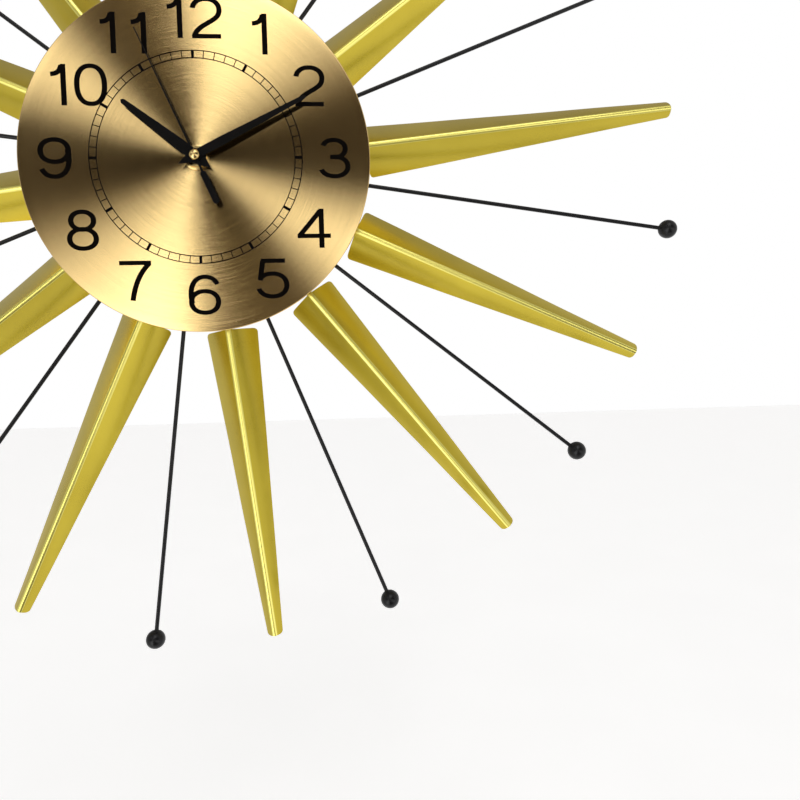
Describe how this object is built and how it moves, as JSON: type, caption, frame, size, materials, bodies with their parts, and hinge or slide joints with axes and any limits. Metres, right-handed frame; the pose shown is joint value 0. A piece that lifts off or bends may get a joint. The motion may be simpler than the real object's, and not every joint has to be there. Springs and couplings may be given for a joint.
{
  "type": "sunburst wall clock",
  "caption": "Wall clock with a spun metal dial, folded metal rays and ball-tipped rods around it, and a battery quartz movement behind.",
  "frame": {"origin": "on the dial's axis in the wall plane, at the rear face of the movement", "axes": "+Z to 12 o'clock, +X to 3 o'clock, +Y into the wall, so the dial faces -Y"},
  "size_m": [0.6362, 0.0356, 0.637],
  "materials": {
    "gold_lacquer": "satin gold lacquer on folded sheet",
    "black_enamel": "semi-gloss black enamel",
    "dial_metal": "champagne anodised, spun with a circular brush",
    "fibreboard": "raw pressed fibreboard",
    "zinc_steel": "zinc plated",
    "nickel_strip": "nickel plated spring strip",
    "brass_hardware": "polished",
    "case_plastic": "fine textured moulding",
    "gear_plastic": "smooth acetal moulding",
    "battery_jacket": "printed jacket with plain bands",
    "rotor_magnet": "ground ferrite",
    "copper_wire": "enamelled winding",
    "board_green": "solder mask",
    "hand_black": "satin black lacquer"
  },
  "bodies": {
    "clock": {"ray_01": "gold_lacquer", "rod_01": "black_enamel", "ball_01": "black_enamel", "ray_02": "gold_lacquer", "rod_02": "black_enamel", "ball_02": "black_enamel", "ray_03": "gold_lacquer", "rod_03": "black_enamel", "ball_03": "black_enamel", "ray_04": "gold_lacquer", "rod_04": "black_enamel", "ball_04": "black_enamel", "ray_05": "gold_lacquer", "rod_05": "black_enamel", "ball_05": "black_enamel", "ray_06": "gold_lacquer", "rod_06": "black_enamel", "ball_06": "black_enamel", "ray_07": "gold_lacquer", "rod_07": "black_enamel", "ball_07": "black_enamel", "ray_08": "gold_lacquer", "rod_08": "black_enamel", "ball_08": "black_enamel", "ray_09": "gold_lacquer", "rod_09": "black_enamel", "ball_09": "black_enamel", "ray_10": "gold_lacquer", "rod_10": "black_enamel", "ball_10": "black_enamel", "ray_11": "gold_lacquer", "rod_11": "black_enamel", "ball_11": "black_enamel", "ray_12": "gold_lacquer", "rod_12": "black_enamel", "ball_12": "black_enamel", "dial": "dial_metal", "dial_backing": "fibreboard", "hub_plate": "black_enamel", "hanger_bracket": "zinc_steel", "dial_washer": "brass_hardware", "dial_nut": "brass_hardware", "movement_front": "case_plastic", "movement_back": "case_plastic", "battery": "battery_jacket", "contact_positive": "nickel_strip", "contact_negative": "nickel_strip", "coil": "copper_wire", "stator": "zinc_steel", "circuit_board": "board_green"},
    "hour_hands": {"hour_wheel": "gear_plastic", "hour_hand": "hand_black"},
    "minute_hands": {"centre_wheel": "gear_plastic", "minute_hand": "hand_black"},
    "second_hands": {"second_wheel": "gear_plastic", "second_hand": "hand_black"},
    "third_train": {"third_wheel": "gear_plastic"},
    "intermediate_train": {"intermediate_wheel": "gear_plastic"},
    "motor_rotor": {"rotor": "rotor_magnet"},
    "setting_train": {"setting_wheel": "gear_plastic"}
  },
  "joints": [
    {"name": "second_spin", "type": "hinge", "parent": "clock", "child": "second_hands", "pos_m": [0, -0.012, 0], "axis": [0, 1, 0], "continuous": true},
    {"name": "minute_spin", "type": "hinge", "parent": "clock", "child": "minute_hands", "pos_m": [0, -0.012, 0], "axis": [0, 1, 0], "continuous": true},
    {"name": "hour_spin", "type": "hinge", "parent": "clock", "child": "hour_hands", "pos_m": [0, -0.012, 0], "axis": [0, 1, 0], "continuous": true},
    {"name": "third_spin", "type": "hinge", "parent": "clock", "child": "third_train", "pos_m": [0.00835, -0.012, 0.00585], "axis": [0, 1, 0], "continuous": true},
    {"name": "intermediate_spin", "type": "hinge", "parent": "clock", "child": "intermediate_train", "pos_m": [-0.00175, -0.012, 0.00993], "axis": [0, 1, 0], "continuous": true},
    {"name": "rotor_spin", "type": "hinge", "parent": "clock", "child": "motor_rotor", "pos_m": [0.00112, -0.012, 0.01782], "axis": [0, 1, 0], "continuous": true},
    {"name": "setting_spin", "type": "hinge", "parent": "clock", "child": "setting_train", "pos_m": [-0.0097, -0.012, 0.0056], "axis": [0, 1, 0], "continuous": true}
  ],
  "couplings": [
    {"joint": "minute_spin", "follows": "second_spin", "ratio": 0.016667},
    {"joint": "hour_spin", "follows": "second_spin", "ratio": 0.0013889},
    {"joint": "third_spin", "follows": "second_spin", "ratio": -0.13333},
    {"joint": "intermediate_spin", "follows": "second_spin", "ratio": -5},
    {"joint": "rotor_spin", "follows": "second_spin", "ratio": 30},
    {"joint": "setting_spin", "follows": "second_spin", "ratio": -0.0055556}
  ]
}
